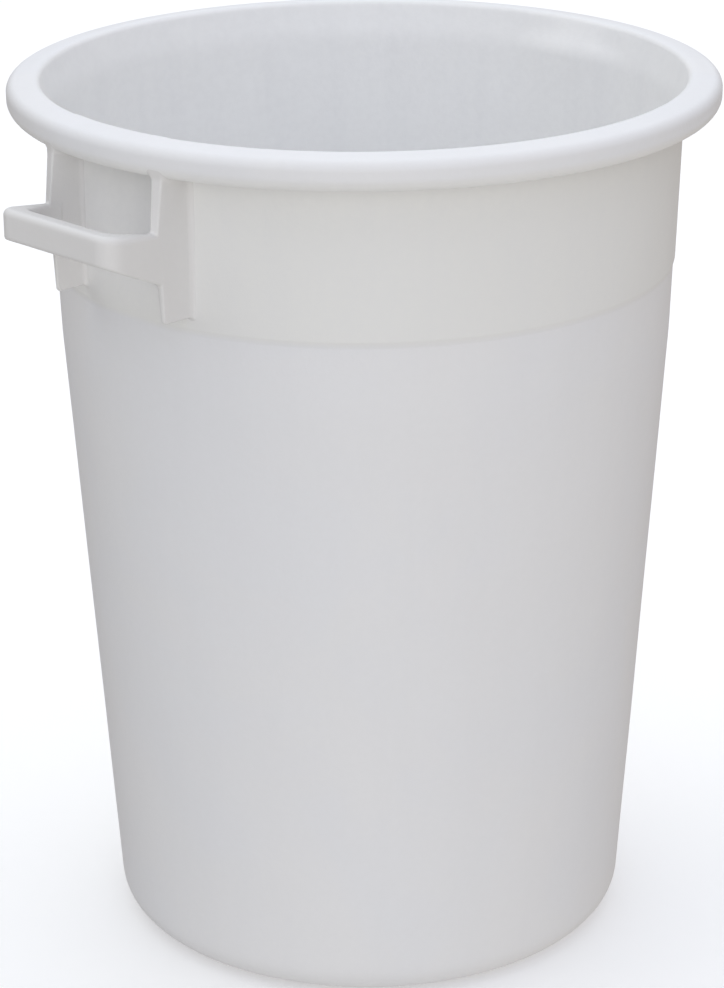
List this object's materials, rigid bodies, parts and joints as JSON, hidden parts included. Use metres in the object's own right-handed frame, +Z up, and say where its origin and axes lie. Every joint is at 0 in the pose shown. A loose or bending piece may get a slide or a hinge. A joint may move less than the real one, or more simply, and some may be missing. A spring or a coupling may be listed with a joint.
{
  "type": "open head plastic drum",
  "caption": "Round open-topped plastic drum with a tapered body, stacking step, thick hooked rim and D-shaped carry handles on flat collar panels.",
  "frame": {"origin": "middle of the underside, on the plane that the drum stands on", "axes": "+Z up the drum's axis to the mouth, X through both handles, Y square to them"},
  "size_m": [0.62, 0.5399, 0.6845],
  "materials": {
    "shell_plastic": "semi-gloss natural white polyethylene, slightly translucent",
    "handle_plastic": "semi-gloss natural white polyethylene"
  },
  "bodies": {
    "root": {"drum_shell": "shell_plastic", "right_handle": "handle_plastic", "left_handle": "handle_plastic"}
  },
  "joints": []
}
